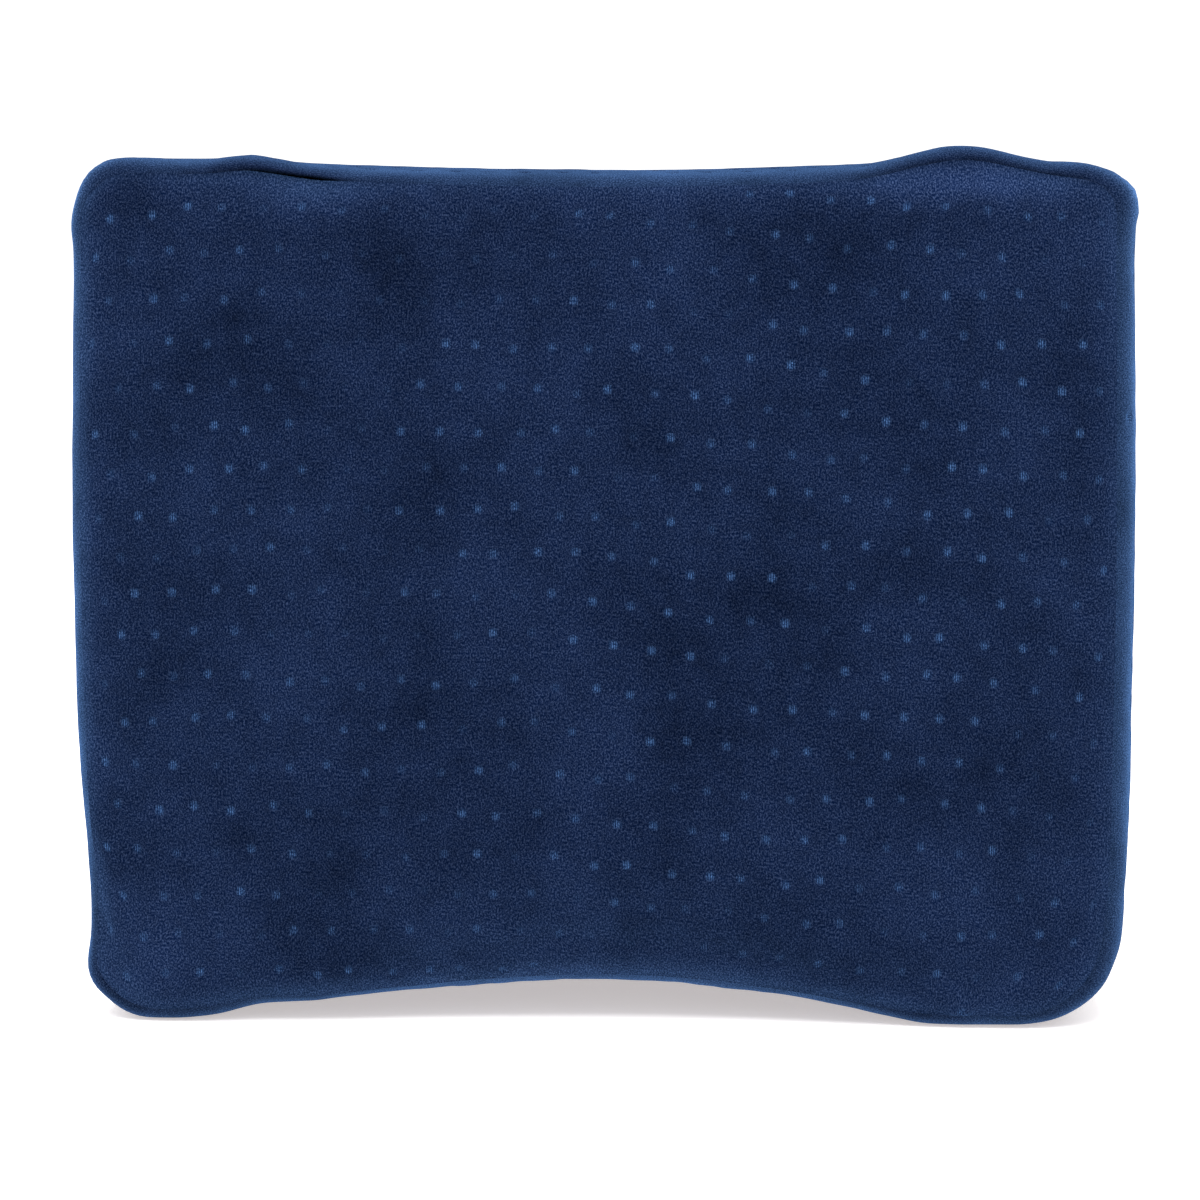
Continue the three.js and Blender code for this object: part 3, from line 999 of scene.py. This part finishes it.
# %% [markdown]
# ## Floor and light
#
# In the photograph floor and backdrop are pure white, and even under the arch the shadow is only
# a pale beige. A light table does that: a white sheet that glows a little by itself, here in a
# slightly warm white. A soft box stands above it, a little to the left of the camera.

# %% White light table under a soft box
FLOOR_SIZE = 6
PAPER = 0.92                 # the share of light that the table gives back
GLOW_COLOUR = (1.0, 0.93, 0.91, 1)
GLOW = 0.5                   # of what would look pure white
SKY_STRENGTH = 1.2           # white light from all round
SOFT_BOX_AT = seen_from(azimuth=-8, elevation=58) * 1.7
SOFT_BOX_SIZE = 1.1
SOFT_BOX_POWER = 42          # watts

sheet_of_paper = bmesh.new()
bmesh.ops.create_grid(sheet_of_paper, x_segments=1, y_segments=1, size=FLOOR_SIZE)
floor = add_object("floor", finished(sheet_of_paper, "floor"))
paper = bpy.data.materials.new("white background paper")
paper.use_nodes = True
paper_shader = paper.node_tree.nodes["Principled BSDF"]
paper_shader.inputs["Base Color"].default_value = (PAPER, PAPER, PAPER, 1)
paper_shader.inputs["Roughness"].default_value = 0.9
paper_shader.inputs["Specular IOR Level"].default_value = 0.1
paper_shader.inputs["Emission Color"].default_value = GLOW_COLOUR
paper_shader.inputs["Emission Strength"].default_value = GLOW
floor.data.materials.append(paper)

scene.world = bpy.data.worlds.new("studio")
scene.world.use_nodes = True
sky = scene.world.node_tree.nodes["Background"]
sky.inputs["Color"].default_value = (1, 1, 1, 1)
sky.inputs["Strength"].default_value = SKY_STRENGTH
scene.view_settings.view_transform = "Standard"

soft_box = add_object("soft box", bpy.data.lights.new("soft box", "AREA"))
soft_box.data.size = SOFT_BOX_SIZE
soft_box.data.energy = SOFT_BOX_POWER
soft_box.location = SOFT_BOX_AT
soft_box.rotation_euler = (MIDDLE - SOFT_BOX_AT).to_track_quat("-Z", "Y").to_euler()
print("soft box at", [round(x, 2) for x in soft_box.location])

# %% [markdown]
# ## Tie the pieces to the model
#
# Each piece of cloth takes the place of one solid. The panels are sheets, stretched over the
# filling. The band and the filling it holds are one padded piece.

# %% Hide the solids and tie the cloth to the root body
for piece, node in ((front_panel, "front_panel"), (back_panel, "back_panel"),
                    (side_band, "boxed_body")):
    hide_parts(node)
    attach(piece, "root")
